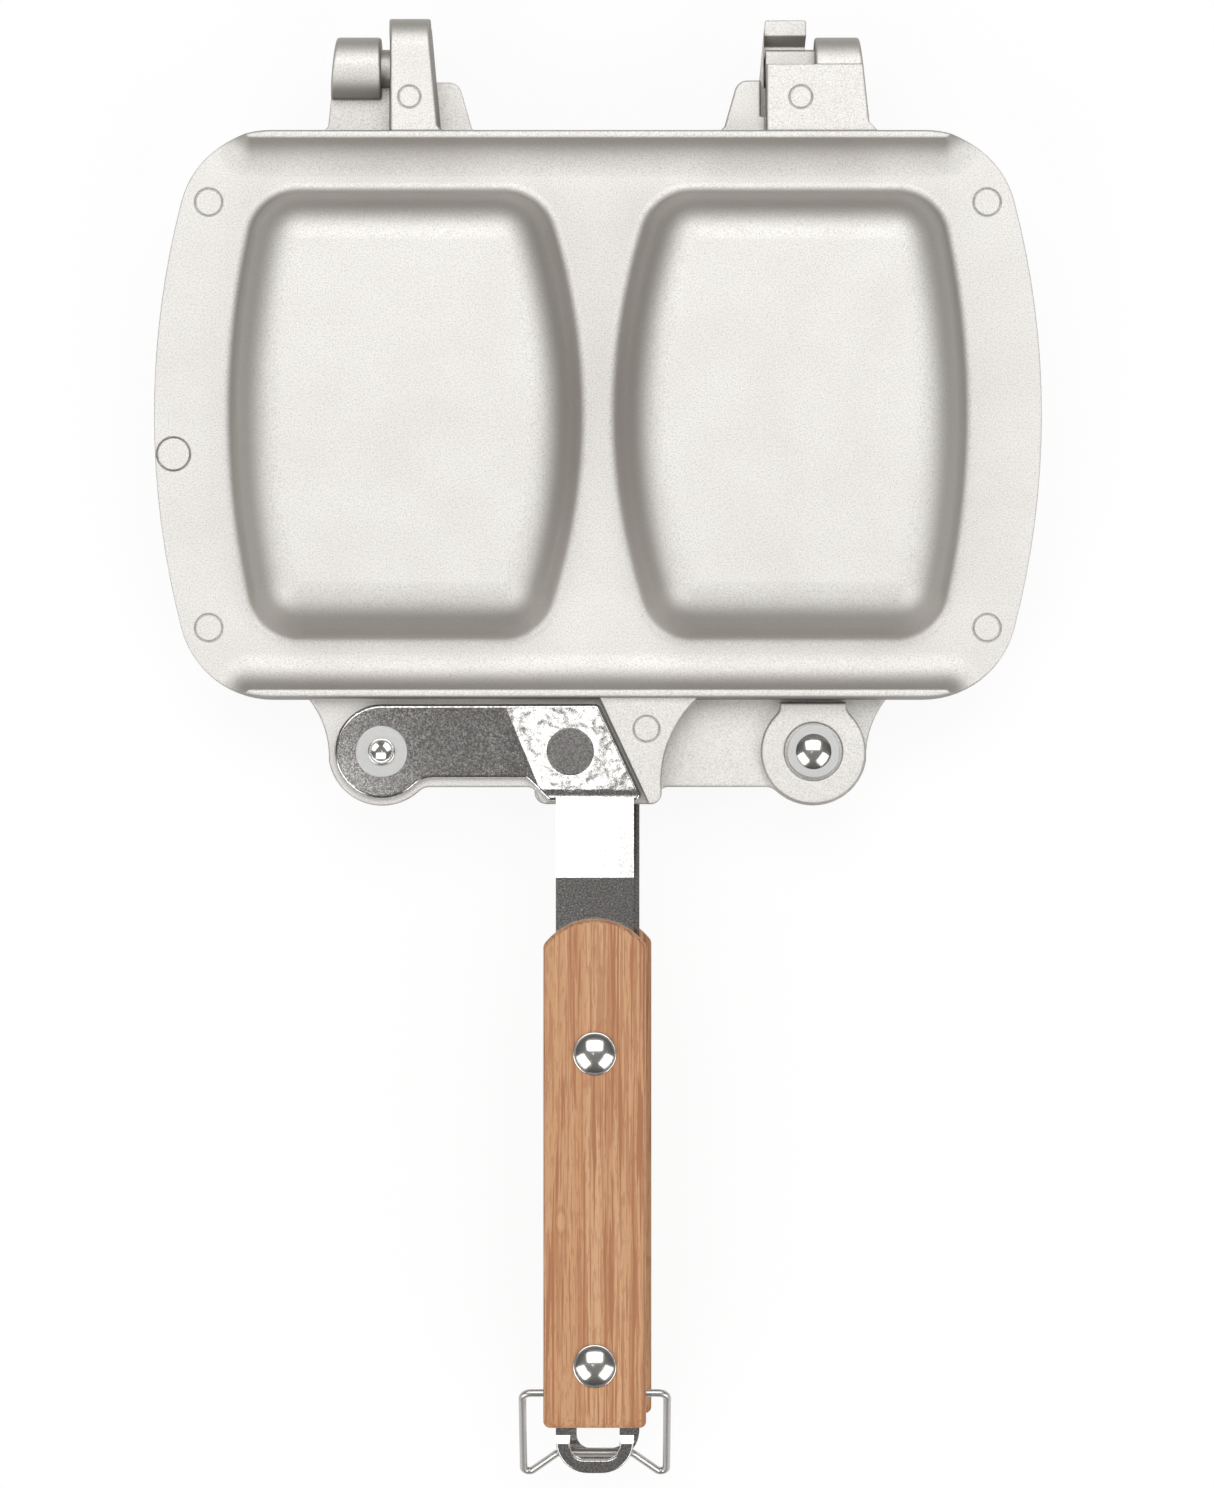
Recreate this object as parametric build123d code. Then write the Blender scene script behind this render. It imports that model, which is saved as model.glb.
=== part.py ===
from build123d import *
import os
from math import cos, hypot, radians, sin, sqrt, tan

# A hinged sandwich iron: two identical cast plates with two bread pockets each, open-hook
# hinges at the back, and two sheet-metal handles with wooden grips that fold sideways.
# Lengths are in millimetres. While it is built, z = 0 is the parting plane between the
# plates, +Y points away from the handles, and the origin is the middle of the plates.
# The lower half is the upper half turned half a turn about the Y axis.

# Plate casting
plate_half_width = 117.5
plate_half_depth = 75.2
side_arc_radius = 224.0
plate_corner_radius = 25.0
parting_gap = 0.3
flange_top = 4.0
casting_draft = 4.0
casting_edge_radius = 0.6

# Raised rims along the front and back edges
rim_top = 9.5
rim_land = 1.9
rim_fillet = 11.2
rim_edge_radius = 0.8
rim_end_setback = 25.0
rim_end_round = 1.2

# Bread pockets
pocket_side_margin = 19.3
pocket_end_margin = 15.0
pocket_inner_x = 3.4
pocket_outer_arc = 229.0
pocket_inner_arc = 167.0
pocket_top = 20.0
pocket_draft = 18.0
pocket_corner_radius = 13.5
pocket_edge_radius = 12.5
pocket_foot_radius = 3.4
casting_wall = 3.5

# Hinge
hinge_stand_off = 16.8
pin_radius = 5.0
pin_clearance = 0.08
pin_flat = 2.8
hook_wall = 3.75
hook_reach = 13.0
hook_tip_radius = 8.0
hook_tip_z = 1.0
hook_mouth = 6.3
hook_mouth_depth = 3.0
hook_chamfer = 2.7
hook_outer_x = 55.3
hook_tip_x = 44.3
hook_root_x = 41.6
hook_cheek_x = 44.0
hook_end_gap = 0.4
hook_side_draft = 5.0
lug_face_z = 8.5
lug_outer_x = 71.5
lug_tip_x = 68.9
boss_radius = 8.2
boss_gap = 2.0
boss_edge_radius = 0.8
wing_inner_x = 33.4
wing_outer_x = 43.0
wing_setback = 3.6
wing_corner = 3.5
hinge_root_flare = 3.0
lug_root_flare = 3.5
root_overlap = 2.0

# Handle lug of the casting
pivot_x = -57.0
pivot_stand_off = 13.7
lug_radius = 14.3
lug_edge_drop = 9.4
toe_drop = 13.9
lug_flare_reach = 21.0
lug_flare_waist = 16.2
lug_flare_waist_y = 8.6
lug_flare_angle = 190.0
lug_notch_radius = 4.0
toe_left_x = -13.3
toe_right_x = 16.8
toe_corner = 3.0
toe_blend = 5.3
toe_waist = 1.3
toe_waist_y = 1.0
toe_flare_reach = 11.2
pad_top = 7.5
pad_wall_top_x = 0.6
pad_wall_lean = 12.9
boss_depth = 2.5
pivot_boss_radius = 13.8
boss_neck_width = 17.6
boss_waist_radius = 3.0
boss_rim_room = 0.8
recess_radius = 7.8
recess_depth = 0.6

# Handle strap
strap_sheet = 1.2
strap_play = 0.2
arm_top = 6.3
arm_half_width = 12.5
arm_front_drop = 7.0
strap_corner_drop = 13.0
arm_foot_radius = 7.0
arm_jog_front = 1.0
arm_jog_back = 5.0
strap_corner_radius = 1.6
strap_edge_radius = 0.9
pad_gap = 0.9
bend_back_x = -24.6
bend_front_x = -14.0
corner_tilt = 3.0
corner_step = 0.35
bend_overlap = 3.0
handle_x = -0.8
strap_width = 20.5
strap_thickness = 1.5
grip_inner_z = 8.5
slope_run = 20.1
slope_root = 1.0
loop_step = 0.55
loop_step_setback = 2.8
loop_step_run = 2.2
loop_length = 10.0
loop_corner = 8.5
loop_edge_radius = 0.5
slot_width = 13.0
slot_under_grip = 4.7
slot_rim = 3.6
slot_corner = 3.6

# Wooden grip
grip_width = 26.9
grip_setback = 10.8
grip_nose = 6.8
grip_length = 132.9
grip_top_z = 17.0
grip_edge_radius = 1.4
grip_corner_radius = 1.7

# Grip rivets and the washers under their set heads
back_rivet_setback = 35.0
front_rivet_setback = 16.3
grip_head_radius = 5.7
grip_head_rim = 0.6
grip_head_round = 0.35
grip_dome_radius = 5.0
grip_dome_height = 1.8
grip_shank_radius = 2.4
rivet_fit = 0.05
grip_washer_radius = 4.6
grip_washer_thickness = 0.8
set_head_radius = 3.4
set_head_height = 0.8
set_head_round = 0.5
washer_edge_round = 0.2

# Pivot rivet, its washers and its spring washer
pivot_shank_radius = 2.5
pivot_fit = 0.08
pivot_washer_radius = 6.8
pivot_washer_thickness = 0.8
eyelet_radius = 3.6
eyelet_height = 0.8
eyelet_bore = 2.4
eyelet_bore_depth = 0.6
eyelet_bowl_depth = 0.7
eyelet_round = 0.4
backing_washer_radius = 6.9
backing_washer_thickness = 0.8
pivot_head_radius = 4.7
pivot_head_height = 1.8
spring_outer_radius = 6.4
spring_thickness = 0.4
spring_cone = 0.5
spring_seat = 0.05

# Detent stud in the strap
stud_x = -7.3
stud_radius = 6.2
stud_proud = 0.15
stud_nose_radius = 3.4
stud_nose_gap = 0.25
stud_edge_round = 0.25
stud_nose_round = 0.6
dimple_radius = 3.9
dimple_depth = 0.5

# Wire bail
wire_radius = 1.0
bail_pivot_setback = 8.8
bail_pivot_z = 13.5
bail_half_width = 19.0
bail_reach = 33.0
bail_bar_half = 9.9
bail_bar_gap = 0.5
bail_hole_depth = 6.5
bail_end_gap = 0.5
bail_bend = 2.2
bail_corner_bend = 1.5
bail_tilt = 40.0
bail_hole_fit = 0.06

# Rings left by the ejector pins
mark_width = 0.4
mark_depth = 0.3
flange_mark_radius = 3.6
flange_mark_side_inset = 14.7
flange_mark_end_inset = 19.0
side_mark_radius = 4.4
side_mark_inset = 5.4
side_mark_y = -10.3
side_mark_depth = 0.6
hook_mark_radius = 2.9
hook_mark_x = -49.6
lug_mark_radius = 3.0
lug_mark_x = 53.4
hinge_mark_setback = 8.6
toe_mark_radius = 3.4
toe_mark_x = 12.8
toe_mark_y_offset = 6.0

# Places that follow from the sizes above
half_gap = parting_gap / 2
floor_align = (Align.CENTER, Align.CENTER, Align.MIN)
pocket_outer_x = plate_half_width - pocket_side_margin
pocket_half_depth = plate_half_depth - pocket_end_margin
hinge_y = plate_half_depth + hinge_stand_off
wing_reach = hinge_y - wing_setback
pivot_y = -plate_half_depth - pivot_stand_off
pivot = (pivot_x, pivot_y)
lug_edge_y = pivot_y - lug_edge_drop
toe_y = pivot_y - toe_drop
arm_front_y = pivot_y - arm_front_drop
strap_corner_y = pivot_y - strap_corner_drop
stud_y = pivot_y
slope_end_y = strap_corner_y - slope_run
grip_back_y = slope_end_y - grip_setback
grip_shoulder_y = grip_back_y - grip_nose
grip_front_y = grip_back_y - grip_length
grip_rivet_ys = (grip_back_y - back_rivet_setback, grip_front_y + front_rivet_setback)
loop_step_y = grip_front_y - loop_step_setback
strap_end_y = loop_step_y - loop_length
slot_start_y = grip_front_y + slot_under_grip
slot_end_y = strap_end_y + slot_rim
bail_pivot_y = grip_front_y + bail_pivot_setback


def box_between(low, high):
    """Box from one corner point to the opposite one."""
    size = [b - a for a, b in zip(low, high)]
    middle = [(a + b) / 2 for a, b in zip(low, high)]
    return Pos(*middle) * Box(*size)


def prism(face, z_low, z_high, taper=0):
    """Face in the XY plane, extruded from one height to another."""
    return extrude(Pos(0, 0, z_low) * face, amount=z_high - z_low, dir=(0, 0, 1), taper=taper)


def disc(x, y, radius, z_low, z_high):
    """Upright cylinder."""
    return Pos(x, y, (z_low + z_high) / 2) * Cylinder(radius, z_high - z_low)


def along_x(face, x_low, x_high):
    """Face drawn as (Y, Z), extruded along X."""
    plane = Plane(origin=(x_low, 0, 0), x_dir=(0, 1, 0), z_dir=(1, 0, 0))
    return extrude(plane * face, amount=x_high - x_low, dir=(1, 0, 0))


def domed_head(radius, height):
    """Rivet head: a cap of a sphere, standing on z = 0."""
    sphere_radius = (radius ** 2 + height ** 2) / (2 * height)
    ball = Pos(0, 0, height - sphere_radius) * Sphere(sphere_radius)
    keep = box_between((-radius, -radius, 0), (radius, radius, height))
    return ball & keep


def upright_edges(solid, least):
    """Edges that climb at least this far."""
    return [edge for edge in solid.edges() if edge.bounding_box().size.Z > least]


def plate_outline():
    """Plan of the plate: straight front and back, bowed sides, round corners."""
    centre = side_arc_radius - plate_half_width
    face = Rectangle(2 * side_arc_radius, 2 * plate_half_depth)
    face &= Pos(-centre, 0) * Circle(side_arc_radius)
    face &= Pos(centre, 0) * Circle(side_arc_radius)
    return fillet(face.vertices(), plate_corner_radius)


def rim_cut():
    """What is cut away inside a rim, drawn as (distance, Z) from the axis its end turns about."""
    rise = rim_top - flange_top
    run = sqrt(rim_fillet ** 2 - (rim_fillet - rise) ** 2)
    foot = rim_end_round + run
    sag = rim_fillet - sqrt(rim_fillet ** 2 - (run / 2) ** 2)
    crest = (rim_end_round, rim_top)
    slope = ThreePointArc(crest, (foot - run / 2, flange_top + sag), (foot, flange_top))
    rest = Polyline((foot, flange_top), (0, flange_top), (0, rim_top), crest)
    rim = make_face([slope, *rest.edges()])
    corner = [v for v in rim.vertices() if hypot(v.X - crest[0], v.Y - crest[1]) < 0.01]
    rim = fillet(corner, rim_edge_radius)
    width = plate_half_width
    height = 2 * rim_top
    return Pos(width / 2, flange_top + height / 2) * Rectangle(width, height) - rim


def flange_and_rims():
    """Flat flange with the two raised rims left along its front and back edges."""
    blank = prism(plate_outline(), half_gap, rim_top, taper=casting_draft)
    blank = fillet(blank.edges().group_by(Axis.Z)[-1], rim_edge_radius)
    wall_inset = (rim_top - half_gap) * tan(radians(casting_draft))
    turn_x = plate_half_width - rim_end_setback - rim_end_round
    turn_y = plate_half_depth - wall_inset - rim_land + rim_end_round
    back = Plane(origin=(-turn_x, turn_y, 0), x_dir=(0, -1, 0), z_dir=(-1, 0, 0))
    right = Plane(origin=(turn_x, turn_y, 0), x_dir=(1, 0, 0), z_dir=(0, -1, 0))
    inside = extrude(back * rim_cut(), amount=2 * turn_x, dir=(1, 0, 0))
    corner = revolve(right * rim_cut(), axis=Axis((turn_x, turn_y, 0), (0, 0, -1)),
                     revolution_arc=90)
    outside = extrude(right * rim_cut(), amount=plate_half_depth, dir=(0, 1, 0))
    for end in (corner, outside):
        inside += end + mirror(end, about=Plane.YZ)
    blank -= inside
    return blank - mirror(inside, about=Plane.XZ)


def pocket_form(side, inset):
    """One pocket as a solid: the outside with no inset, the cavity with the wall as inset."""
    outer = pocket_outer_x - inset
    inner = pocket_inner_x + inset
    half_depth = pocket_half_depth - inset
    face = Pos((outer + inner) / 2, 0) * Rectangle(outer - inner, 2 * half_depth)
    face &= Pos(outer - pocket_outer_arc, 0) * Circle(pocket_outer_arc)
    face &= Pos(inner + pocket_inner_arc, 0) * Circle(pocket_inner_arc)
    form = prism(face, half_gap, pocket_top - inset, taper=pocket_draft)
    form = fillet(upright_edges(form, casting_wall), pocket_corner_radius - inset)
    form = fillet(form.edges().group_by(Axis.Z)[-1], pocket_edge_radius - inset)
    if side > 0:
        return form
    return mirror(form, about=Plane.YZ)


def pocket_foot_edges(casting):
    """Edges where the pockets rise from the flange."""
    level = casting.edges().filter_by_position(Axis.Z, flange_top - 0.01, flange_top + 0.01)
    inside_x = [e for e in level if abs(e.center().X) < pocket_outer_x]
    return [e for e in inside_x if e.bounding_box().max.Y < pocket_half_depth
            and e.bounding_box().min.Y > -pocket_half_depth]


def hinge_hook():
    """Open hook on the left that lies over the other plate's hinge pin."""
    top = pin_radius + hook_wall
    root = plate_half_depth - hinge_y - root_overlap
    tip_centre_y = hook_reach - hook_tip_radius
    tip_centre_z = top - hook_tip_radius
    profile = Pos((root + tip_centre_y) / 2, (half_gap + top) / 2)
    profile *= Rectangle(tip_centre_y - root, top - half_gap)
    tip = Pos(tip_centre_y, tip_centre_z) * Circle(hook_tip_radius)
    tip &= Pos(tip_centre_y + hook_tip_radius / 2, top / 2) * Rectangle(hook_tip_radius, top)
    profile += tip
    solid = along_x(Pos(hinge_y, 0) * profile, -hook_outer_x, -hook_root_x + 2 * hinge_root_flare)

    bore = pin_radius + pin_clearance
    slot = Circle(bore) + Pos(0, -top) * Rectangle(2 * bore, 2 * top)
    slot += Pos(hook_mouth / 2, hook_mouth_depth - top) * Rectangle(hook_mouth, 2 * top)
    chamfer_top = hook_tip_z + hook_chamfer
    chamfer = Polygon((0, chamfer_top), (hook_mouth, chamfer_top),
                      (hook_mouth + hook_chamfer, hook_tip_z), (hook_mouth + hook_chamfer, -top),
                      (0, -top), align=None)
    below_tip = Pos(hook_reach, hook_tip_z - top) * Rectangle(2 * hook_reach, 2 * top)
    slot += chamfer + below_tip
    solid -= along_x(Pos(hinge_y, 0) * slot, -hook_outer_x - 1, -hook_cheek_x)
    cheek_cut = Pos(0, -top) * Rectangle(2 * hook_reach + 2, 2 * top + 2 * half_gap)
    solid -= along_x(Pos(hinge_y, 0) * cheek_cut, -hook_outer_x - 1, 0)

    tip_y = hinge_y + hook_reach + 1
    root_y = plate_half_depth - root_overlap
    flare = hinge_root_flare
    plan = Polygon((-hook_outer_x, root_y), (-hook_outer_x, tip_y), (-hook_tip_x, tip_y),
                   (-hook_root_x, root_y + flare), (-hook_root_x + flare, root_y), align=None)
    solid &= prism(plan, 0, top + 1, taper=hook_side_draft)
    crown = [edge for edge in solid.edges() if edge.bounding_box().max.Z > top - 0.1
             and edge.bounding_box().size.X < 4 and edge.bounding_box().size.Y > 1]
    return fillet(crown, casting_edge_radius)


def hinge_lug():
    """Lug on the right that carries this plate's hinge pin, its round boss and its wing."""
    root = plate_half_depth - hinge_y - root_overlap
    web = Pos(root / 2, (half_gap + lug_face_z) / 2) * Rectangle(-root, lug_face_z - half_gap)
    flat_cut = Pos(pin_radius, pin_flat + pin_radius) * Rectangle(2 * pin_radius, 2 * pin_radius)
    pin = Circle(pin_radius) - flat_cut
    boss_x = hook_outer_x + boss_gap
    pin_x = hook_cheek_x + hook_end_gap
    tip_y = hinge_y + boss_radius + 1
    root_y = plate_half_depth - root_overlap
    flare = lug_root_flare
    plan = Polygon((0, root_y), (0, tip_y), (lug_tip_x, tip_y), (lug_outer_x, root_y + flare),
                   (lug_outer_x + flare, root_y), align=None)
    room = prism(plan, -boss_radius - 1, lug_face_z + 1)
    solid = along_x(Pos(hinge_y, 0) * web, pin_x, lug_outer_x + flare) & room
    crown = [edge for edge in solid.edges().group_by(Axis.Z)[-1]
             if edge.bounding_box().size.Y > edge.bounding_box().size.X]
    solid = fillet(crown, casting_edge_radius)
    solid += along_x(Pos(hinge_y, 0) * pin, pin_x, boss_x + boss_edge_radius)
    boss = along_x(Pos(hinge_y, 0) * Circle(boss_radius), boss_x, lug_outer_x) & room
    ends = boss.edges().filter_by(GeomType.LINE, reverse=True)
    return solid + fillet(ends, boss_edge_radius)


def hinge_wing():
    """Low cheek beside the lug that keeps the other plate's hook in line."""
    root_y = plate_half_depth - root_overlap
    flare = hinge_root_flare
    lug_inner_x = hook_cheek_x + hook_end_gap
    plan = Polygon((wing_inner_x - flare, root_y), (wing_inner_x, root_y + flare),
                   (wing_inner_x + wing_corner, wing_reach), (wing_outer_x, wing_reach),
                   (wing_outer_x, hinge_y - hook_reach), (lug_inner_x, hinge_y - hook_reach),
                   (lug_inner_x, root_y), align=None)
    corner = plan.vertices().sort_by(Axis.Y)[-2:].sort_by(Axis.X)[0]
    plan = fillet(corner, wing_corner)
    wing = prism(plan, half_gap, flange_top)
    return fillet(wing.edges().group_by(Axis.Z)[-1], casting_edge_radius)


def lug_outline():
    """Plan of the handle lug: pivot end, straight edge, toe, and a flare to each side."""
    inside_y = root_overlap - plate_half_depth
    left_foot = (pivot_x - lug_flare_reach, inside_y)
    left_mid = (pivot_x - lug_flare_waist, pivot_y + lug_flare_waist_y)
    turn = radians(lug_flare_angle)
    left_join = (pivot_x + lug_radius * cos(turn), pivot_y + lug_radius * sin(turn))
    drop = pivot_y - lug_edge_y
    right_join = (pivot_x + sqrt(lug_radius ** 2 - drop ** 2), lug_edge_y)
    toe_start = (toe_left_x - toe_blend, lug_edge_y)
    toe_front = (toe_left_x, toe_y)
    corner_start = (toe_right_x - toe_corner, toe_y)
    corner_end = (toe_right_x, toe_y + toe_corner)
    diagonal = toe_corner * (1 - sqrt(0.5))
    corner_mid = (toe_right_x - diagonal, toe_y + diagonal)
    waist = (toe_right_x + toe_waist, pivot_y + toe_waist_y)
    right_foot = (toe_right_x + toe_flare_reach, inside_y)
    edges = [
        ThreePointArc(left_foot, left_mid, left_join),
        ThreePointArc(left_join, (pivot_x, pivot_y - lug_radius), right_join),
        Line(right_join, toe_start),
        Spline(toe_start, toe_front, tangents=((1, 0), (1, 0))),
        Line(toe_front, corner_start),
        ThreePointArc(corner_start, corner_mid, corner_end),
        ThreePointArc(corner_end, waist, right_foot),
        Line(right_foot, left_foot),
    ]
    face = make_face(Wire(edges))
    notch = [v for v in face.vertices() if hypot(v.X - right_join[0], v.Y - lug_edge_y) < 0.1]
    return fillet(notch, lug_notch_radius)


def pad_wall_x(y):
    """X of the pad's slanted wall at a given Y."""
    return pad_wall_top_x + pad_wall_lean * (-plate_half_depth - y) / (-plate_half_depth - toe_y)


def stop_pad(outline):
    """Raised pad on the lug whose slanted wall stops the handle."""
    back_y = -pocket_half_depth
    front_y = 2 * toe_y - pivot_y
    far = plate_half_width
    half = Polygon((pad_wall_x(back_y), back_y), (pad_wall_x(front_y), front_y),
                   (far, front_y), (far, back_y), align=None)
    pad = prism(outline & half, flange_top / 2, pad_top)
    return fillet(pad.edges().group_by(Axis.Z)[-1], casting_edge_radius)


def handle_lug():
    """Flat lug for the folding handle, its stop pad and the boss behind its pivot."""
    outline = lug_outline()
    solid = prism(outline, half_gap, flange_top)
    levels = solid.edges().group_by(Axis.Z)
    outer = [edge for edge in levels[0] + levels[-1] if edge.center().Y < -plate_half_depth]
    solid = fillet(outer, casting_edge_radius)
    solid += stop_pad(outline)
    rim_y = -plate_half_depth - boss_rim_room
    neck = Pos(pivot_x, (rim_y + pivot_y) / 2) * Rectangle(boss_neck_width, rim_y - pivot_y)
    boss = Pos(*pivot) * Circle(pivot_boss_radius) + neck
    reach = 4 * pivot_boss_radius
    room = Pos(pivot_x, rim_y - reach / 2) * Rectangle(reach, reach)
    boss &= room
    waist = [v for v in boss.vertices() if pivot_y < v.Y < rim_y - boss_rim_room]
    boss = prism(fillet(waist, boss_waist_radius), -boss_depth, flange_top / 2)
    solid += fillet(boss.edges().group_by(Axis.Z)[0], casting_edge_radius)
    solid -= disc(pivot_x, pivot_y, recess_radius, -boss_depth - 1, -boss_depth + recess_depth)
    solid -= disc(pivot_x, pivot_y, pivot_shank_radius + pivot_fit, -boss_depth, flange_top)
    dimple = dimple_radius ** 2 / (2 * dimple_depth) + dimple_depth / 2
    solid -= Pos(stud_x, stud_y, flange_top + dimple - dimple_depth) * Sphere(dimple)
    return solid


def ejector_marks():
    """Place, radius, level and depth of each ejector mark."""
    flange_x = plate_half_width - flange_mark_side_inset
    flange_y = plate_half_depth - flange_mark_end_inset
    hinge_mark_y = hinge_y - hinge_mark_setback
    side_mark_x = side_mark_inset - plate_half_width
    toe_mark_y = pivot_y + toe_mark_y_offset
    marks = [(x, y, flange_mark_radius, flange_top, mark_depth)
             for x in (-flange_x, flange_x) for y in (-flange_y, flange_y)]
    marks.append((side_mark_x, side_mark_y, side_mark_radius, flange_top, side_mark_depth))
    marks.append((hook_mark_x, hinge_mark_y, hook_mark_radius, pin_radius + hook_wall, mark_depth))
    marks.append((lug_mark_x, hinge_mark_y, lug_mark_radius, lug_face_z, mark_depth))
    marks.append((toe_mark_x, toe_mark_y, toe_mark_radius, pad_top, mark_depth))
    return marks


def ejector_rings():
    """Shallow rings that the ejector pins leave on the outside of the casting."""
    rings = []
    for x, y, radius, level, depth in ejector_marks():
        ring = Circle(radius + mark_width / 2) - Circle(radius - mark_width / 2)
        rings.append(Pos(x, y, level - depth) * extrude(ring, amount=2 * depth))
    return rings


def plate():
    """The whole casting."""
    casting = flange_and_rims()
    for side in (-1, 1):
        casting += pocket_form(side, 0)
    casting = fillet(pocket_foot_edges(casting), pocket_foot_radius)
    casting += hinge_hook() + hinge_lug() + hinge_wing()
    casting += handle_lug()
    for side in (-1, 1):
        casting -= pocket_form(side, casting_wall)
    for ring in ejector_rings():
        casting -= ring
    return casting


def corner_normal():
    """Upward normal of the strap's tilted corner."""
    run_x = bend_front_x - bend_back_x
    run_y = strap_corner_y - (pivot_y + arm_half_width)
    length = hypot(run_x, run_y)
    lean = sin(radians(corner_tilt))
    return (lean * run_y / length, -lean * run_x / length, cos(radians(corner_tilt)))


def corner_z(x, y):
    """Height of the tilted corner's upper face at a point."""
    normal = corner_normal()
    fall = normal[0] * (x - bend_back_x) + normal[1] * (y - pivot_y - arm_half_width)
    return arm_top + corner_step - fall / normal[2]


def strap_plan():
    """Plan of the strap's arm: pivot end, arm and the slanted corner."""
    back_y = pivot_y + arm_half_width
    right_back = pad_wall_x(back_y) - pad_gap
    right_front = pad_wall_x(strap_corner_y) - pad_gap
    drop = pivot_y - arm_front_y
    join = (pivot_x + sqrt(arm_half_width ** 2 - drop ** 2), arm_front_y)
    crown = (pivot_x, back_y)
    end = ThreePointArc(join, (pivot_x - arm_half_width, pivot_y), crown)
    rest = Polyline(crown, (right_back, back_y), (right_front, strap_corner_y),
                    (bend_front_x + arm_jog_front, strap_corner_y),
                    (bend_front_x - arm_jog_back, arm_front_y), join)
    face = make_face([end, *rest.edges()])
    notch = [v for v in face.vertices() if abs(v.X - join[0]) < 0.1 and v.Y < pivot_y]
    face = fillet(notch, arm_foot_radius)
    corners = [v for v in face.vertices() if v.X > bend_back_x]
    return fillet(corners, strap_corner_radius)


def bend_side(face, right, margin=0):
    """Part of a plan face on one side of the bend line, and a margin beyond it."""
    lean = (bend_front_x - bend_back_x) / (strap_corner_y - pivot_y - arm_half_width)
    beyond = arm_half_width
    back_y = pivot_y + arm_half_width + beyond
    front_y = strap_corner_y - beyond
    shift = -margin if right else margin
    back_x = bend_back_x + lean * beyond + shift
    front_x = bend_front_x - lean * beyond + shift
    far = 2 * plate_half_width if right else -2 * plate_half_width
    half = Polygon((back_x, back_y), (front_x, front_y), (far, front_y), (far, back_y), align=None)
    return face & half


def rounded_rim(solid, level, cut_x):
    """Solid with the upper rim rounded, away from the cut across the strap."""
    rim = []
    for edge in solid.edges():
        box = edge.bounding_box()
        across = abs(box.center().X - cut_x) < bend_overlap / 2 and box.size.Y > arm_half_width
        if box.min.Z > level and not across:
            rim.append(edge)
    return fillet(rim, strap_edge_radius)


def strap_form(inset, z_low):
    """Arm and tilted corner as one solid; the inset one is the space under the sheet."""
    face = offset(strap_plan(), amount=-inset) if inset else strap_plan()
    bend_x = (bend_back_x + bend_front_x) / 2
    arm = prism(bend_side(face, False, bend_overlap), z_low, arm_top - inset)
    corner = prism(bend_side(face, True, bend_overlap), z_low, pocket_top)
    normal = corner_normal()
    origin = (bend_back_x, pivot_y + arm_half_width, arm_top + corner_step - inset)
    above = Plane(origin=origin, x_dir=(normal[2], 0, -normal[0]), z_dir=normal)
    span = 3 * plate_half_width
    corner -= above * Pos(0, 0, pocket_top) * Box(span, span, 2 * pocket_top)
    if not inset:
        level = (z_low + arm_top) / 2
        arm = rounded_rim(arm, level, bend_x + bend_overlap)
        corner = rounded_rim(corner, level, bend_x - bend_overlap)
    room = Rectangle(2 * span, 2 * span)
    arm &= prism(bend_side(room, False), 0, pocket_top)
    corner &= prism(bend_side(room, True), 0, pocket_top)
    return arm + corner


def strap_slope():
    """Stretch that climbs from the tilted corner to the level of the grip."""
    half = strap_width / 2
    start_y = strap_corner_y + slope_root
    left = handle_x - half
    right = handle_x + half
    left_z = corner_z(left, start_y)
    right_z = corner_z(right, start_y)
    sheet = strap_thickness
    top = grip_inner_z + sheet
    first = Polyline((left, start_y, left_z - sheet), (right, start_y, right_z - sheet),
                     (right, start_y, right_z), (left, start_y, left_z), close=True)
    last = Polyline((left, slope_end_y, grip_inner_z), (right, slope_end_y, grip_inner_z),
                    (right, slope_end_y, top), (left, slope_end_y, top), close=True)
    return loft([make_face(first), make_face(last)])


def strap_tail():
    """Flat stretch under the grip, with the stepped hanging loop at its end."""
    low = grip_inner_z
    high = grip_inner_z + strap_thickness
    step_y = loop_step_y - loop_step_run
    side = Polygon((slope_end_y, low), (loop_step_y, low), (step_y, low + loop_step),
                   (strap_end_y, low + loop_step), (strap_end_y, high + loop_step),
                   (step_y, high + loop_step), (loop_step_y, high), (slope_end_y, high), align=None)
    half = strap_width / 2
    solid = along_x(side, handle_x - half, handle_x + half)
    length = slope_end_y - strap_end_y
    plan = Pos(handle_x, (slope_end_y + strap_end_y) / 2) * Rectangle(strap_width, length)
    plan = fillet(plan.vertices().group_by(Axis.Y)[0], loop_corner)
    slot_length = slot_start_y - slot_end_y
    slot = Pos(handle_x, (slot_start_y + slot_end_y) / 2) * Rectangle(slot_width, slot_length)
    slot = fillet(slot.vertices(), slot_corner)
    solid &= prism(plan - slot, low - 1, high + loop_step + 1)
    rim = [edge for edge in solid.edges().group_by(Axis.Z)[-1]
           if edge.bounding_box().min.Y < step_y - loop_edge_radius]
    return fillet(rim, loop_edge_radius)


def handle_strap():
    """Sheet-metal strap with its rivet holes."""
    z_low = flange_top + strap_play
    outer = strap_form(0, z_low)
    solid = outer - strap_form(strap_sheet, z_low)
    solid += strap_slope() + strap_tail()
    solid -= disc(pivot_x, pivot_y, pivot_shank_radius + pivot_fit, z_low, arm_top)
    solid -= disc(stud_x, stud_y, stud_radius + rivet_fit, z_low, pocket_top)
    for y in grip_rivet_ys:
        solid -= disc(handle_x, y, grip_shank_radius + rivet_fit, 0, pocket_top)
    return solid


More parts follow.
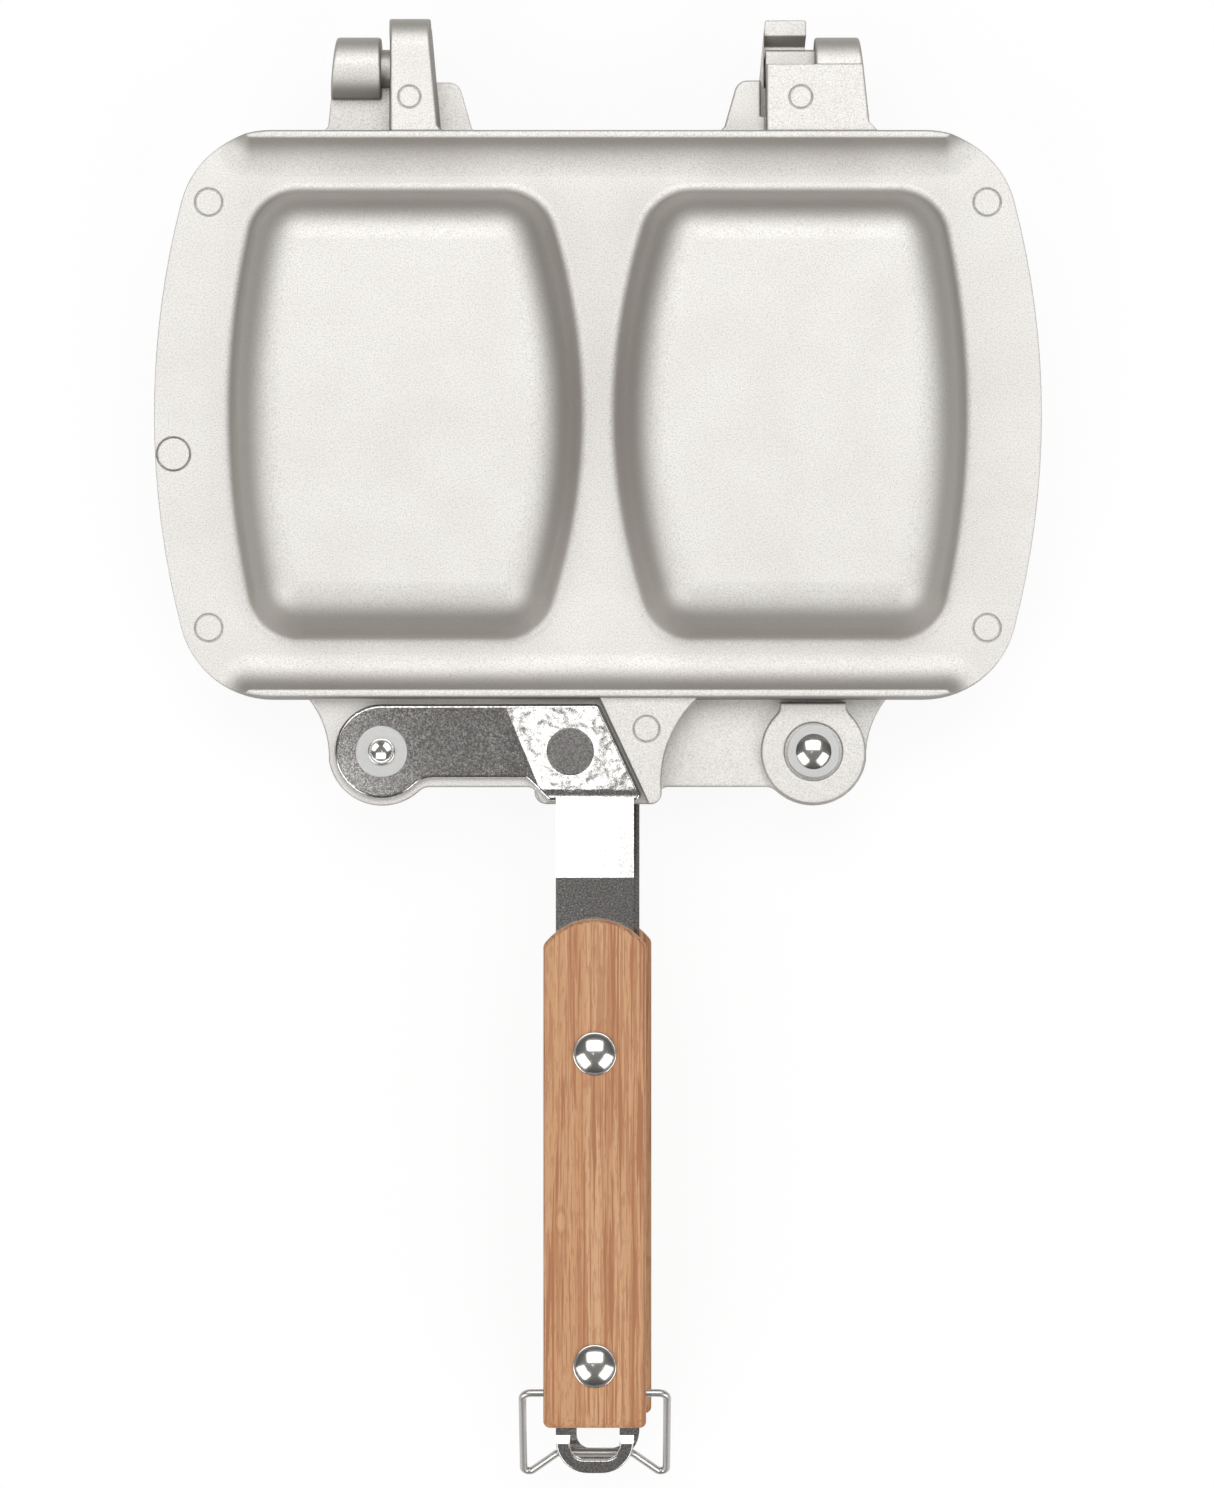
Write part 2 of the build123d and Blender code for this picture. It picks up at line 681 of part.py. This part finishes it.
def grip():
    """Wooden grip, drilled for its rivets and for the wire bail."""
    half = grip_width / 2
    floor = grip_inner_z + strap_thickness
    edges = [
        ThreePointArc((-half, grip_shoulder_y), (0, grip_back_y), (half, grip_shoulder_y)),
        Line((half, grip_shoulder_y), (half, grip_front_y)),
        Line((half, grip_front_y), (-half, grip_front_y)),
        Line((-half, grip_front_y), (-half, grip_shoulder_y)),
    ]
    face = make_face(Wire(edges))
    face = fillet(face.vertices(), grip_corner_radius)
    solid = Pos(handle_x, 0) * prism(face, floor, grip_top_z)
    solid = fillet(solid.edges().group_by(Axis.Z)[-1], grip_edge_radius)
    for y in grip_rivet_ys:
        solid -= disc(handle_x, y, grip_shank_radius + rivet_fit, 0, pocket_top)
    return solid


def bail_holes():
    """Drillings in the sides of the grip for the ends of the bail."""
    holes = []
    for side in (-1, 1):
        floor_x = handle_x + side * (grip_width / 2 - bail_hole_depth)
        spot = Pos(floor_x, bail_pivot_y, bail_pivot_z) * Rot(0, 90 * side, 0)
        hole = Cylinder(wire_radius + bail_hole_fit, 2 * bail_hole_depth, align=floor_align)
        holes.append(spot * hole)
    return holes


def lock_bail():
    """Wire bail that swings about its ends in the grip and hooks the other strap."""
    loop_z = grip_inner_z + loop_step - bail_pivot_z
    bar = hypot(bail_pivot_y - strap_end_y, loop_z) + wire_radius + bail_bar_gap
    inner = grip_width / 2 - bail_hole_depth + bail_end_gap
    points = [(-inner, 0), (-bail_half_width, 0), (-bail_half_width, bail_reach),
              (-bail_bar_half, bar), (bail_bar_half, bar), (bail_half_width, bail_reach),
              (bail_half_width, 0), (inner, 0)]
    tilt = radians(bail_tilt)
    down = (0, -cos(tilt), -sin(tilt))
    plane = Plane(origin=(handle_x, bail_pivot_y, bail_pivot_z), x_dir=(1, 0, 0),
                  z_dir=(0, sin(tilt), -cos(tilt)))
    route = Polyline(*points)
    radii = [bail_bend, bail_corner_bend, bail_corner_bend]
    radii += radii[::-1]
    corners = points[1:-1]
    for corner, radius in zip(corners, radii):
        vertex = [v for v in route.vertices() if hypot(v.X - corner[0], v.Y - corner[1]) < 0.01]
        route = fillet(vertex, radius)
    route = plane * route
    start = Plane(origin=route @ 0, z_dir=route % 0)
    return sweep(start * Circle(wire_radius), path=route)


def pivot_rivet():
    """Pivot rivet: domed head behind the boss, rolled eyelet in front of the washer."""
    seat = -boss_depth + recess_depth - backing_washer_thickness - spring_cone - spring_thickness
    front = arm_top + strap_play / 2 + pivot_washer_thickness
    head = Rot(180, 0, 0) * domed_head(pivot_head_radius, pivot_head_height)
    solid = Pos(pivot_x, pivot_y, seat) * head
    solid += disc(pivot_x, pivot_y, pivot_shank_radius, seat, front)
    top = front + eyelet_height
    bowl_z = top - eyelet_bore_depth
    rim = disc(pivot_x, pivot_y, eyelet_radius, front, top)
    rim -= disc(pivot_x, pivot_y, eyelet_bore, bowl_z, top)
    solid += fillet(rim.edges().group_by(Axis.Z)[-1], eyelet_round)
    solid -= disc(pivot_x, pivot_y, eyelet_bore, bowl_z, top)
    bowl = Rot(180, 0, 0) * domed_head(eyelet_bore, eyelet_bowl_depth)
    return solid - Pos(pivot_x, pivot_y, bowl_z) * bowl


def washer(x, y, radius, bore, z_low, z_high):
    """Flat washer with its outer edges eased."""
    solid = disc(x, y, radius, z_low, z_high)
    rims = solid.edges().filter_by(GeomType.CIRCLE)
    return fillet(rims, washer_edge_round) - disc(x, y, bore, z_low, z_high)


def pivot_spring():
    """Conical spring washer between the boss and the backing washer."""
    floor = -boss_depth + recess_depth - spring_seat
    bore = pivot_shank_radius + 2 * pivot_fit
    low = floor - spring_cone
    section = Polygon((bore, low), (spring_outer_radius, floor),
                      (spring_outer_radius, floor - spring_thickness),
                      (bore, low - spring_thickness + spring_seat), align=None)
    ring = revolve(Plane.XZ * section, axis=Axis.Z)
    return Pos(pivot_x, pivot_y) * ring


def detent_stud():
    """Round stud in the strap's corner, with a nose over the dimple in the lug."""
    top = corner_z(stud_x, stud_y) + stud_proud
    shoulder = corner_z(stud_x, stud_y) - strap_sheet
    nose = flange_top + stud_nose_gap
    head = disc(stud_x, stud_y, stud_radius, shoulder, top)
    head = fillet(head.edges().group_by(Axis.Z)[-1], stud_edge_round)
    stem = disc(stud_x, stud_y, stud_nose_radius, nose, shoulder)
    stem = fillet(stem.edges().group_by(Axis.Z)[0], stud_nose_round)
    return head + stem


def grip_rivet(y):
    """Domed rivet through the grip and the strap."""
    set_low = grip_inner_z - grip_washer_thickness - set_head_height
    rim_z = grip_top_z + grip_head_rim
    rim = disc(handle_x, y, grip_head_radius, grip_top_z, rim_z)
    solid = fillet(rim.edges().group_by(Axis.Z)[-1], grip_head_round)
    solid += Pos(handle_x, y, rim_z) * domed_head(grip_dome_radius, grip_dome_height)
    solid += disc(handle_x, y, grip_shank_radius, set_low, grip_top_z)
    head = disc(handle_x, y, set_head_radius, set_low, set_low + set_head_height)
    solid += fillet(head.edges().group_by(Axis.Z)[0], set_head_round)
    return solid


def grip_washer(y):
    """Washer under a grip rivet's set head."""
    high = grip_inner_z
    low = high - grip_washer_thickness
    return washer(handle_x, y, grip_washer_radius, grip_shank_radius + rivet_fit, low, high)


def backing_washer():
    """Washer between the spring washer and the rivet's domed head."""
    high = -boss_depth + recess_depth - spring_cone - spring_thickness
    bore = pivot_shank_radius + pivot_fit
    return washer(pivot_x, pivot_y, backing_washer_radius, bore, high - backing_washer_thickness, high)


def front_washer():
    """Light washer between the strap and the eyelet."""
    low = arm_top + strap_play / 2
    bore = pivot_shank_radius + pivot_fit
    return washer(pivot_x, pivot_y, pivot_washer_radius, bore, low, low + pivot_washer_thickness)


def half_iron():
    """Pieces that both halves have, in the upper half's place."""
    return {
        "plate": plate(),
        "handle_strap": handle_strap(),
        "grip": grip(),
        "grip_rivets": Compound([grip_rivet(y) for y in grip_rivet_ys]),
        "grip_washers": Compound([grip_washer(y) for y in grip_rivet_ys]),
        "pivot_rivet": pivot_rivet(),
        "pivot_washer": front_washer(),
        "backing_washer": backing_washer(),
        "pivot_spring": pivot_spring(),
        "detent_stud": detent_stud(),
    }


def build():
    """Every piece by name, with the part's origin at the bottom centre."""
    pieces = {}
    for name, shape in half_iron().items():
        pieces["upper_" + name] = shape
        pieces["lower_" + name] = shape.rotate(Axis.Y, 180)
    for hole in bail_holes():
        pieces["upper_grip"] -= hole
    pieces["lock_bail"] = lock_bail()
    boxes = [shape.bounding_box() for shape in pieces.values()]
    middle_y = (min(b.min.Y for b in boxes) + max(b.max.Y for b in boxes)) / 2
    middle_y = round(middle_y, 1)
    print("plate centre in the part's frame:", 0, -middle_y, pocket_top)
    return {name: Pos(0, -middle_y, pocket_top) * shape for name, shape in pieces.items()}


os.makedirs("parts", exist_ok=True)
for name, shape in build().items():
    export_step(shape, f"parts/{name}.step")
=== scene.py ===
from math import atan, cos, pi, radians, sin, tan

import bpy
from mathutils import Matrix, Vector


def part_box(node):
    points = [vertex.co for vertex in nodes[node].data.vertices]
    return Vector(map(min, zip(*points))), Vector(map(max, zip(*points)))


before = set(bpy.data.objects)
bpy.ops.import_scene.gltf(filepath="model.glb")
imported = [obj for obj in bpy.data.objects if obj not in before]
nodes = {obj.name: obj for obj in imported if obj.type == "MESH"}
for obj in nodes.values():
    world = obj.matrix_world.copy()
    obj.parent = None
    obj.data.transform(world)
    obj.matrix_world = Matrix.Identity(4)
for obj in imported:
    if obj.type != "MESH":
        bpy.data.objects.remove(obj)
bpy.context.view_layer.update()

# The stage. The iron lies closed on a white table under three soft boxes, one behind it and two
# in front of it, and one small lamp. The camera hangs above the middle of the picture.

picture_height = 1488
metres_per_pixel = 0.000265
camera_height = 1.17
parting_z = 0.020
view_centre = (0.0024, 0.0013)

camera_data = bpy.data.cameras.new("camera")
camera_data.sensor_fit = "VERTICAL"
camera_data.angle_y = 2 * atan(picture_height * metres_per_pixel / 2 / camera_height)
camera_data.clip_start = 0.05
camera = bpy.data.objects.new("camera", camera_data)
camera.location = (*view_centre, parting_z + camera_height)
bpy.context.scene.collection.objects.link(camera)
bpy.context.scene.camera = camera
bpy.context.scene.view_settings.view_transform = "Standard"


class Value:
    """A number in a shader, which Python sums work on."""

    def __init__(self, finish, socket):
        self.finish = finish
        self.socket = socket

    def sum_of(self, operation, first, second):
        return self.finish.node("Math", {"operation": operation}, {0: first, 1: second})

    def __add__(self, other):
        return self.sum_of("ADD", self, other)

    def __radd__(self, other):
        return self.sum_of("ADD", other, self)

    def __sub__(self, other):
        return self.sum_of("SUBTRACT", self, other)

    def __rsub__(self, other):
        return self.sum_of("SUBTRACT", other, self)

    def __mul__(self, other):
        return self.sum_of("MULTIPLY", self, other)

    def __rmul__(self, other):
        return self.sum_of("MULTIPLY", other, self)

    def __truediv__(self, other):
        return self.sum_of("DIVIDE", self, other)

    def __rtruediv__(self, other):
        return self.sum_of("DIVIDE", other, self)

    def __pow__(self, other):
        return self.sum_of("POWER", self, other)

    def above(self, level, softness=0.0):
        """1 where the value is over the level, 0 under it, with a soft step between."""
        edges = {"From Min": level - softness, "From Max": level + softness}
        ramp = {"interpolation_type": "SMOOTHSTEP"}
        return self.finish.node("MapRange", ramp, {"Value": self, **edges})


class Finish:
    """A material made of shader nodes."""

    def __init__(self, name):
        self.material = bpy.data.materials.new(name)
        self.material.use_nodes = True
        self.tree = self.material.node_tree
        self.tree.nodes.clear()

    def node(self, kind, settings=None, sockets=None, output=0):
        """Add a node, with its settings and a value or a link for each socket named."""
        node = self.tree.nodes.new("ShaderNode" + kind)
        for name, setting in (settings or {}).items():
            setattr(node, name, setting)
        for name, value in (sockets or {}).items():
            if isinstance(value, Value):
                self.tree.links.new(value.socket, node.inputs[name])
            else:
                node.inputs[name].default_value = value
        return Value(self, node.outputs[output]) if node.outputs else None

    def place(self, stretch=(1, 1, 1), shift=(0, 0, 0)):
        """Object coordinates in metres, moved and then stretched."""
        point = self.node("TexCoord", output="Object")
        moved = {"Vector": point, "Location": shift, "Scale": stretch}
        return self.node("Mapping", {"vector_type": "POINT"}, moved)

    def noise(self, size, detail=2.0, stretch=(1, 1, 1), shift=(0, 0, 0)):
        """Cloudy noise whose features are about this size in metres."""
        spot = self.place(stretch, shift)
        return self.node("TexNoise", None, {"Vector": spot, "Scale": 1 / size, "Detail": detail})

    def blend(self, share, first, second):
        """Colour between two others."""
        mixed = {"Factor": share, 6: first, 7: second}
        return self.node("Mix", {"data_type": "RGBA"}, mixed, output=2)

    def bump(self, height, depth, strength=1.0, normal=None):
        """Normal of a surface whose relief is this deep, in metres, where height goes from 0 to 1."""
        relief = {"Height": height, "Distance": depth, "Strength": strength}
        if normal:
            relief["Normal"] = normal
        return self.node("Bump", None, relief)

    def shine(self, sockets):
        """The main shader, wired to the output."""
        shader = self.node("BsdfPrincipled", None, sockets)
        self.node("OutputMaterial", None, {"Surface": shader})
        return self.material

    def coat(self, *names):
        """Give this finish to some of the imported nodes."""
        for name in names:
            for slot in nodes[name].material_slots:
                slot.material = self.material


def table_finish():
    """White table: it shows as white, and keeps part of the iron's shadow."""
    white_share = 0.9
    cloth_tone = (0.92, 0.92, 0.92, 1)
    finish = Finish("table_white")
    ray = finish.node("LightPath")
    path = ray.socket.node.outputs
    seen = Value(finish, path["Is Camera Ray"]) + Value(finish, path["Is Glossy Ray"])
    seen = seen + Value(finish, path["Is Transmission Ray"])
    cloth = finish.node("BsdfDiffuse", None, {"Color": cloth_tone})
    white = finish.node("Emission", None, {"Color": (1, 1, 1, 1), "Strength": 1.0})
    both = finish.node("MixShader", None, {0: seen * white_share, 1: cloth, 2: white})
    finish.node("OutputMaterial", None, {"Surface": both})
    return finish.material


table_size = 12.0
table_mesh = bpy.data.meshes.new("table")
half = table_size / 2
corners = [(-half, -half, 0), (half, -half, 0), (half, half, 0), (-half, half, 0)]
table_mesh.from_pydata(corners, [], [(0, 1, 2, 3)])
table_mesh.materials.append(table_finish())
table = bpy.data.objects.new("table", table_mesh)
bpy.context.scene.collection.objects.link(table)

horizon = (0.050, 0.048, 0.046, 1)
zenith = (0.240, 0.234, 0.228, 1)
world = bpy.data.worlds.new("room")
world.use_nodes = True
bpy.context.scene.world = world
room = world.node_tree
room.nodes.clear()
room_path = room.nodes.new("ShaderNodeLightPath")
room_direction = room.nodes.new("ShaderNodeTexCoord")
room_axes = room.nodes.new("ShaderNodeSeparateXYZ")
room_tone = room.nodes.new("ShaderNodeMix")
room_tone.data_type = "RGBA"
room_tone.inputs[6].default_value = horizon
room_tone.inputs[7].default_value = zenith
room_grey = room.nodes.new("ShaderNodeBackground")
room_white = room.nodes.new("ShaderNodeBackground")
room_white.inputs["Color"].default_value = (1, 1, 1, 1)
room_mix = room.nodes.new("ShaderNodeMixShader")
room_out = room.nodes.new("ShaderNodeOutputWorld")
for source, target in (
    (room_direction.outputs["Generated"], room_axes.inputs[0]),
    (room_axes.outputs["Z"], room_tone.inputs[0]),
    (room_tone.outputs[2], room_grey.inputs["Color"]),
    (room_path.outputs["Is Camera Ray"], room_mix.inputs[0]),
    (room_grey.outputs[0], room_mix.inputs[1]),
    (room_white.outputs[0], room_mix.inputs[2]),
    (room_mix.outputs[0], room_out.inputs["Surface"]),
):
    room.links.new(source, target)

soft_box_distance = 3.0


def hang_soft_box(name, azimuth, inner, outer, half_width, radiance):
    """Soft box that faces the iron, between two angles from straight up, in degrees."""
    lean = radians((inner + outer) / 2)
    turn = radians(azimuth)
    direction = Vector((sin(lean) * cos(turn), sin(lean) * sin(turn), cos(lean)))
    lamp = bpy.data.lights.new(name, "AREA")
    lamp.shape = "RECTANGLE"
    lamp.size = 2 * soft_box_distance * tan(radians(half_width))
    lamp.size_y = 2 * soft_box_distance * tan(radians(outer - inner) / 2)
    lamp.energy = radiance * lamp.size * lamp.size_y * pi
    box = bpy.data.objects.new(name, lamp)
    box.location = direction * soft_box_distance
    box.rotation_euler = direction.to_track_quat("Z", "Y").to_euler()
    box.visible_camera = False
    bpy.context.scene.collection.objects.link(box)


hang_soft_box("soft_box_back", azimuth=90, inner=9.5, outer=50, half_width=30, radiance=2.75)
hang_soft_box("soft_box_front_left", azimuth=217, inner=38, outer=72, half_width=22, radiance=2.9)
hang_soft_box("soft_box_front_right", azimuth=323, inner=38, outer=72, half_width=22, radiance=2.9)
# The small lamp gives the straps' tilted corners their shine.
hang_soft_box("small_lamp", azimuth=200, inner=5.5, outer=8.3, half_width=1.5, radiance=5.5)

# The two castings. Each half is one die casting of aluminium, blasted to an even silky grain, with
# its hinge parts, rims, bread pockets and handle lug in one piece. Its edges are a little rounded.
# Its steep walls and rounded edges get painted shade: a darker colour wherever the surface is
# upright.

edge_round = 0.0006
grain_depth = 0.00004
light_alloy = (0.79, 0.78, 0.76, 1)
plain_alloy = (0.74, 0.725, 0.70, 1)
grain_pit = (0.58, 0.56, 0.535, 1)
grain_glint = (0.96, 0.95, 0.93, 1)
# Painted shade: the darker colours that steep and nearly upright walls are blended towards.
painted_wall_shade = (0.40, 0.38, 0.35, 1)
painted_upright_shade = (0.12, 0.11, 0.10, 1)
casting = Finish("cast_aluminium")

# The rounded edges are in the shading only. They also soften how upright a place counts as, so the
# painted shade darkens the edges too.
eased = casting.node("Bevel", {"samples": 6}, {"Radius": edge_round})
to_object = {"vector_type": "NORMAL", "convert_from": "WORLD", "convert_to": "OBJECT"}
facing = casting.node("VectorTransform", to_object, {"Vector": eased})
facing = casting.node("SeparateXYZ", None, {"Vector": facing})
upright = Value(casting, facing.socket.node.outputs["Z"])
lean = 1 - upright * upright
# Painted shade masks: how steep a place is, with the rounded edges counting as steeper.
steep_shade = lean.above(0.30, 0.30)
sheer_shade = lean.above(0.93, 0.05)

grain = casting.noise(0.0004, 2.0)
fine = casting.noise(0.0002, 1.0, shift=(0.3, 0, 0))
cloud = casting.noise(0.018, 4.0)
tone = casting.blend(cloud.above(0.5, 0.3), plain_alloy, light_alloy)
tone = casting.blend(grain.above(0.56, 0.12) * 0.65, tone, grain_pit)
tone = casting.blend(fine.above(0.60, 0.06) * 0.7, tone, grain_glint)
# Painted shade on steep walls and edges, darker still where the wall is nearly upright.
tone = casting.blend(steep_shade * 0.8, tone, painted_wall_shade)
tone = casting.blend(sheer_shade * 0.5, tone, painted_upright_shade)
casting.shine({
    "Base Color": tone,
    "Metallic": 1.0,
    "Roughness": 0.56 + 0.14 * grain,
    "Normal": casting.bump(grain + 0.5 * fine, grain_depth, 0.7, normal=eased),
})
casting.coat("upper_plate", "lower_plate")

# The handle straps. Each is stamped and drawn from bright stainless sheet: a shallow cover that
# turns on the lug, and a flat strap that carries the grip. The tilted corner between them has
# shallow waves, which break up its shine.

dark_steel = (0.38, 0.37, 0.36, 1)
light_steel = (0.66, 0.65, 0.64, 1)
pit_steel = (0.22, 0.21, 0.205, 1)
wave_depth = 0.00012
corner_front_y = -0.0115
corner_front_fade = 0.001
corner_reach_squared = 0.0007
corner_reach_fade = 0.0004
sheet = Finish("polished_sheet")
specks = sheet.noise(0.0005, 2.0)
pits = sheet.noise(0.00035, 1.0, shift=(0.5, 0, 0)).above(0.60, 0.05)
scuffs = sheet.noise(0.0016, 3.0, shift=(0, 0.4, 0)).above(0.68, 0.03)
waves = sheet.noise(0.006, 2.0, shift=(0.2, 0.1, 0))

# The waves reach as far as the corner does, on both sides of the iron's middle line.
sheet_spot = sheet.node("SeparateXYZ", None, {"Vector": sheet.place()})
off_middle = Value(sheet, sheet_spot.socket.node.outputs["X"])
up_strap = Value(sheet, sheet_spot.socket.node.outputs["Y"])
near_middle = 1 - (off_middle * off_middle).above(corner_reach_squared, corner_reach_fade)
at_corner = near_middle * up_strap.above(corner_front_y, corner_front_fade)

steel = sheet.blend(specks.above(0.5, 0.15), dark_steel, light_steel)
steel = sheet.blend(pits * 0.5, steel, pit_steel)
sheet.shine({
    "Base Color": steel,
    "Metallic": 1.0,
    "Roughness": 0.10 + 0.05 * specks + 0.10 * scuffs,
    "Normal": sheet.bump(waves * at_corner + 0.025 * specks, wave_depth, 1.0),
})
sheet.coat("upper_handle_strap", "lower_handle_strap")

# The pivots. A shouldered rivet with a rolled eyelet holds each strap to its lug, over a pale
# washer, and a conical spring washer under its domed head keeps the joint stiff. A dark stud in
# each strap's corner clicks into a dimple of the lug.


def speckled_metal(name, size, dark, light, smooth, spread, relief=None, contrast=None):
    """Plain metal whose tone, gloss and relief vary in small specks."""
    finish = Finish(name)
    specks = finish.noise(size, 3.0)
    share = specks.above(0.5, contrast) if contrast else specks
    sockets = {
        "Base Color": finish.blend(share, (*dark, 1), (*light, 1)),
        "Metallic": 1.0,
        "Roughness": smooth + spread * specks,
    }
    if relief:
        depth, strength = relief
        sockets["Normal"] = finish.bump(specks, depth, strength)
    finish.shine(sockets)
    return finish


washer_finish = speckled_metal("plain_washer", 0.0005, dark=(0.56, 0.565, 0.56),
                               light=(0.68, 0.685, 0.68), smooth=0.40, spread=0.1,
                               relief=(0.00002, 0.4))
washer_finish.coat("upper_pivot_washer", "lower_pivot_washer", "upper_backing_washer",
                   "lower_backing_washer", "upper_grip_washers", "lower_grip_washers")
spring_finish = speckled_metal("spring_steel", 0.0006, dark=(0.30, 0.29, 0.28),
                               light=(0.45, 0.44, 0.42), smooth=0.3, spread=0.1)
spring_finish.coat("upper_pivot_spring", "lower_pivot_spring")
rivet_finish = speckled_metal("polished_rivet", 0.001, dark=(0.70, 0.69, 0.67),
                              light=(0.80, 0.79, 0.77), smooth=0.15, spread=0.06)
rivet_finish.coat("upper_pivot_rivet", "lower_pivot_rivet", "upper_grip_rivets", "lower_grip_rivets")
stud_finish = speckled_metal("dark_stud", 0.0005, dark=(0.17, 0.165, 0.16),
                             light=(0.36, 0.35, 0.34), smooth=0.26, spread=0.12,
                             relief=(0.00003, 0.6), contrast=0.2)
stud_finish.coat("upper_detent_stud", "lower_detent_stud")

# The grips. Each is a bar of laminated bamboo, sanded and oiled, with its outer edges eased and
# a rounded end towards the plates.

pale = (0.59, 0.35, 0.19, 1)
warm = (0.50, 0.26, 0.125, 1)
brown = (0.36, 0.145, 0.062, 1)
fibre_depth = 0.00012
knot_x = -0.0096
knot_y = -0.1235
knot_half_width = 0.0014
knot_half_length = 0.0034
front_end_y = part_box("upper_grip")[0][1]
end_grain_length = 0.0024
end_grain_fade = 0.0006
bamboo = Finish("bamboo")
grip_spot = bamboo.node("SeparateXYZ", None, {"Vector": bamboo.place()})
grip_x = Value(bamboo, grip_spot.socket.node.outputs["X"])
grip_y = Value(bamboo, grip_spot.socket.node.outputs["Y"])
across = (grip_x - knot_x) / knot_half_width
along = (grip_y - knot_y) / knot_half_length
knot = (across * across + along * along) ** 0.5
ring = knot.above(0.8, 0.25) - knot.above(1.25, 0.3)
slats = bamboo.noise(0.005, 1.0, (1, 0.01, 1), (0.7, 0.2, 0))
wide = bamboo.noise(0.0018, 2.0, (1, 0.012, 1), (0.1, 0, 0))
fibre = bamboo.noise(0.0006, 2.0, (1, 0.02, 1))
streak = bamboo.noise(0.0009, 1.0, (1, 0.022, 1), (0.3, 0, 0))
flecks = bamboo.noise(0.0005, 2.0, (1, 0.10, 1), (0.5, 0.3, 0))
bundles = bamboo.noise(0.0035, 1.0, (1, 0.03, 1), (0.9, 0, 0))
wood = bamboo.blend(slats.above(0.5, 0.2), pale, warm)
wood = bamboo.blend(wide.above(0.5, 0.16) * 0.5, wood, warm)
wood = bamboo.blend((fibre + 0.2 * bundles).above(0.63, 0.03) * 0.55, wood, brown)
wood = bamboo.blend((streak + 0.35 * bundles).above(0.775, 0.025) * 0.9, wood, brown)
wood = bamboo.blend(flecks.above(0.57, 0.04) * 0.45, wood, brown)
at_end = 1 - (grip_y - front_end_y).above(end_grain_length, end_grain_fade)
pores = bamboo.noise(0.0007, 1.0, shift=(0.2, 0.6, 0)).above(0.58, 0.04)
wood = bamboo.blend(at_end * pores * 0.6, wood, brown)
wood = bamboo.blend((1 - knot.above(0.7, 0.3)) * 0.6, wood, pale)
wood = bamboo.blend(ring * 0.4, wood, brown)
bamboo.shine({
    "Base Color": wood,
    "Roughness": 0.42 + 0.2 * fibre,
    "Normal": bamboo.bump(fibre + streak, fibre_depth, 0.5),
})
bamboo.coat("upper_grip", "lower_grip")

# The bail. One length of bright spring wire, bent to a closed hook and sprung into two holes in
# the sides of the upper grip.

dark_wire = (0.46, 0.45, 0.435, 1)
light_wire = (0.60, 0.59, 0.575, 1)
wire = Finish("bright_wire")
drawn = wire.noise(0.0008, 3.0)
wire.shine({
    "Base Color": wire.blend(drawn, dark_wire, light_wire),
    "Metallic": 1.0,
    "Roughness": 0.30 + 0.1 * drawn,
})
wire.coat("lock_bail")
